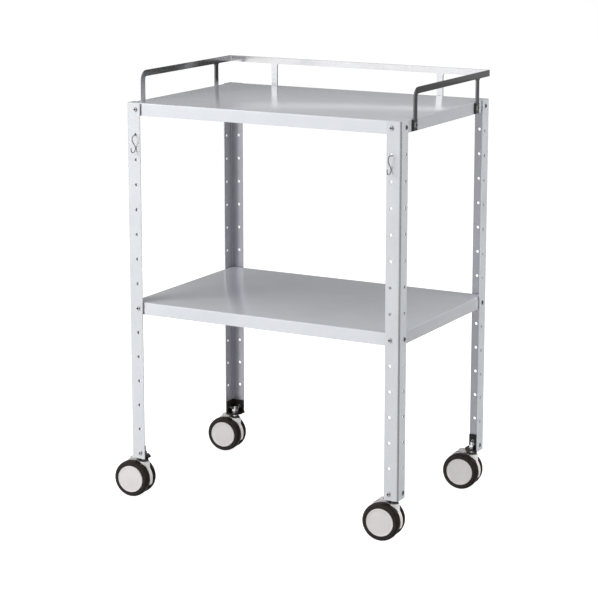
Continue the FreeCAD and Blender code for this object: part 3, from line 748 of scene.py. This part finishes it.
# Caster housings, axles and pedals
# Housing and pedal are moulded in warm white plastic, and the axle is a plain steel pin. The
# pedal is curled close over the tyres: each of its points behind the axle turns back round the
# axle to a third of its own angle.
housing_plastic = plastic(
    "housing_plastic", colour=(0.94, 0.91, 0.89), worn=(0.88, 0.85, 0.83), roughness=0.3,
    size=40.0, bump=0.05,
)
axle_steel = steel(
    "axle_steel", clean=(0.6, 0.6, 0.6), dull=(0.5, 0.5, 0.5), stretch=(900, 900, 900),
    middle=0.3, depth=0.1, bump=0.03,
)
for corner in corners:
    rounded_copy(
        f"caster_housing_{corner}", f"caster_{corner}", housing_plastic,
        edge=0.0003,
    )
    rounded_copy(f"axle_{corner}", f"caster_{corner}", axle_steel, edge=0)
    pedal = rounded_copy(
        f"brake_pedal_{corner}", f"brake_{corner}", housing_plastic,
        edge=0.0003,
    )
    swivel = np.array(joints[f"{corner}_swivel"]["pos_m"])
    axle = np.array(joints[f"{corner}_near_roll"]["pos_m"]) / 2
    axle += np.array(joints[f"{corner}_far_roll"]["pos_m"]) / 2
    backwards = (axle - swivel) * (1, 1, 0)
    backwards /= np.linalg.norm(backwards)
    points = points_of(pedal)
    behind, above = (points - axle) @ backwards, points[:, 2] - axle[2]
    reach, angle = np.hypot(behind, above), np.arctan2(behind, above)
    curled = np.where(angle > 0, angle / 3, angle)
    points += np.outer(reach * np.sin(curled) - behind, backwards)
    points[:, 2] = axle[2] + reach * np.cos(curled)
    move_points(pedal, points)


# Wheels
# Each caster has two wheels: a dark rubber tyre on a white moulded wheel with a white cap. All
# are turned about the axle, with local Z out of the caster.
def reach_along(node, place, out):
    """How far a CAD node lies along a line through place, and its widest radius round it."""
    points = points_of(frame["nodes"][node]) - np.array(place)
    along = points @ np.array(out)
    across = np.linalg.norm(points - np.outer(along, out), axis=1)
    return float(along.min()), float(along.max()), float(across.max())


def tyre_form(near, far, core, radius):
    """A thick ring: a small round inside edge, a crowned tread, a large round outside shoulder
    and a shallow groove where it meets the cap."""
    small, large, crown = 0.0022, 0.0052, 0.0003
    groove_out, groove_in, groove_depth = core + 0.0012, core + 0.0007, 0.0010
    tread = radius - crown
    profile = [
        (core, near),
        *bend((tread - small, near + small), small, -90, -10, 8),
        (radius, (near + far) / 2 - 0.001),
        *bend((tread - large, far - large), large, 8, 90, 14),
        (groove_out, far - 0.0001),
        (groove_in, far - 0.0006),
        (core, far - groove_depth),
    ]
    return skin(turned_rows(profile, 128), ring=True)


def wheel_form(near, far, bore, radius):
    """A moulded wheel: a hub and a rim on its inner side, with a shallow hollow between."""
    edge, hollow, hub, rim = 0.0005, 0.0030, 0.0095, radius - 0.0045
    hub_draft, rim_draft = 0.0007, 0.0010
    profile = [
        (bore, near),
        *bend((hub, near + edge), edge, -90, 0, 4),
        (hub + hub_draft, near + hollow),
        (rim - rim_draft, near + hollow),
        *bend((rim, near + edge), edge, 180, 270, 4),
        (radius, near),
        (radius, far),
        (bore, far),
    ]
    return skin(turned_rows(profile, 96), ring=True)


def cap_form(seat, crest, radius):
    """A thin disc with a narrow rounded rim, and a very slightly domed middle whose height is
    0.4 mm x (1 - share squared), where share is the part of the middle's radius."""
    rim, lip, dome = 0.0009, 0.0006, 0.0004
    dish = crest - lip
    dish_radius = radius - 0.0028
    profile = [(0, seat), (radius, seat), (radius, crest - rim)]
    profile += bend((radius - rim, crest - rim), rim, 15, 90, 7)
    profile += bend((radius - rim - lip, dish), lip, 90, 175, 6)
    profile.append((dish_radius, dish))
    for share in (0.75, 0.5, 0.25, 0):
        profile.append((dish_radius * share, dish + dome * (1 - share**2)))
    return skin(turned_rows(profile, 128))


tyre_rubber = plastic(
    "tyre_rubber", colour=(0.019, 0.013, 0.011), worn=(0.032, 0.023, 0.020), roughness=0.32,
    size=90.0, bump=0.2, specular=0.25,
)
core_plastic = plastic(
    "core_plastic", colour=(0.80, 0.78, 0.76), worn=(0.72, 0.70, 0.68), roughness=0.4,
    size=40.0, bump=0.05,
)
cap_plastic = plastic(
    "cap_plastic", colour=(0.98, 0.94, 0.92), worn=(0.94, 0.90, 0.88), roughness=0.24,
    size=30.0, bump=0.04,
)
axle_bore = 0.00405
for corner in corners:
    for side in ("near", "far"):
        roll = joints[f"{corner}_{side}_roll"]
        place = roll["pos_m"]
        out = np.array(roll["axis"]) * (1 if side == "far" else -1)
        out = out / np.linalg.norm(out)
        near, far, radius = reach_along(f"tyre_{corner}_{side}", place, out)
        seat, crest, core = reach_along(f"wheel_cap_{corner}_{side}", place, out)
        for kind, slot, form, material in (
            ("tyre", "tyre_rubber", tyre_form(near, far, core, radius), tyre_rubber),
            ("wheel", "core_plastic", wheel_form(near, seat, axle_bore, core), core_plastic),
            ("wheel_cap", "cap_plastic", cap_form(seat, crest, core), cap_plastic),
        ):
            node = f"{kind}_{corner}_{side}"
            new_piece(
                f"{node}_finished", [form], [(place, out)], f"wheel_{corner}_{side}",
                material, (node,),
            )


# S-hooks
# Round steel wire bent to an S. Each hook hangs loose in the second hole of a front post, and
# can swing there.
def wire_rows(path, radius):
    """Circles of wire across a path in the YZ plane, with a half ball at both ends."""
    ways = np.gradient(path, axis=0)
    ways /= np.linalg.norm(ways, axis=1)[:, None]
    turn = np.linspace(0, 2 * np.pi, 20, endpoint=False)
    rows = []

    def ring(place, way, reach, ahead):
        across = np.cross(way, (1.0, 0.0, 0.0))
        circle = np.outer(np.cos(turn), (1.0, 0.0, 0.0)) + np.outer(np.sin(turn), across)
        rows.append(place + way * ahead + circle * reach)

    rows.append((path[0] - ways[0] * radius)[None, :])
    for angle in np.radians((60, 30)):
        ring(path[0], ways[0], radius * math.cos(angle), -radius * math.sin(angle))
    for place, way in zip(path, ways):
        ring(place, way, radius, 0)
    for angle in np.radians((30, 60)):
        ring(path[-1], ways[-1], radius * math.cos(angle), radius * math.sin(angle))
    rows.append((path[-1] + ways[-1] * radius)[None, :])
    return rows


hook_steel = steel(
    "hook_steel", clean=(0.50, 0.49, 0.48), dull=(0.42, 0.41, 0.41), stretch=(700, 700, 700),
    middle=0.25, depth=0.1, bump=0.02,
)
wire, wire_play = 0.001, 0.0003
tail_bend, top_bend, low_bend = 0.003, 0.007, 0.008
tail_length, tail_y, crest_out = 0.004, 0.0055, 0.006
lean, tip_turn = math.radians(42), 15
crest_y = -crest_out - post_thick / 2
low_y = -(post_thick / 2 + wire + wire_play + low_bend)
turn_y = crest_y - top_bend * math.cos(lean)
turn_z = -top_bend - top_bend * math.sin(lean)
spine_y = low_y + low_bend * math.cos(lean)
spine_z = turn_z - (spine_y - turn_y) / math.tan(lean)
low_z = spine_z - low_bend * math.sin(lean)
path = [(tail_y, -tail_bend - tail_length)]
path += bend((tail_y - tail_bend, -tail_bend), tail_bend, 0, 90, 12)
path += bend((crest_y, -top_bend), top_bend, 90, 180 + math.degrees(lean), 28)
path += bend((low_y, low_z), low_bend, math.degrees(lean), -180 - tip_turn, 48)
path = np.column_stack([np.zeros(len(path)), np.array(path)])
hook_form = skin(wire_rows(path, wire))
for side in ("left", "right"):
    pivot = joints[f"{side}_hook_swing"]["pos_m"]
    new_piece(
        f"s_hook_{side}_finished", [hook_form], [(pivot, (0, 0, 1))], f"hook_{side}",
        hook_steel, (f"s_hook_{side}",),
    )
